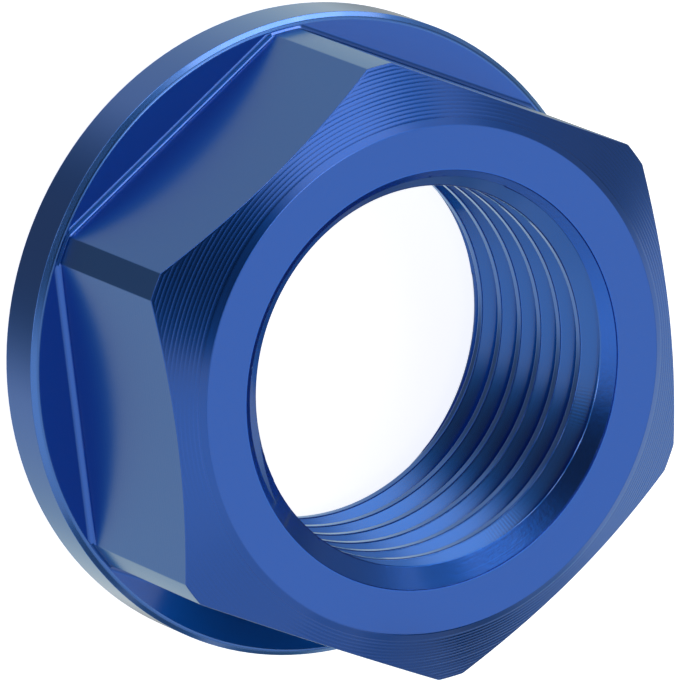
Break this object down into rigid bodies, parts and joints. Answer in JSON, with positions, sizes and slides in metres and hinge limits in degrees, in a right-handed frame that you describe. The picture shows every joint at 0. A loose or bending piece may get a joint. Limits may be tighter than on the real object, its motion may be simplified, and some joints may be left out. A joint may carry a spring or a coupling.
{
  "type": "flanged axle nut",
  "caption": "Hexagon axle nut with a round flange, a shallow turned front cone, a flat front ring and a countersunk fine-thread bore.",
  "frame": {"origin": "centre of the bearing face under the flange, on the bore axis", "axes": "+Z along the bore from the bearing face to the front, two of the six wrench flats face +Y and -Y and two corners point along +X and -X"},
  "size_m": [0.0256, 0.0256, 0.011],
  "materials": {
    "anodised_blue": "satin blue anodising over fine turning and milling marks"
  },
  "bodies": {
    "root": {"axle_nut": "anodised_blue"}
  },
  "joints": []
}
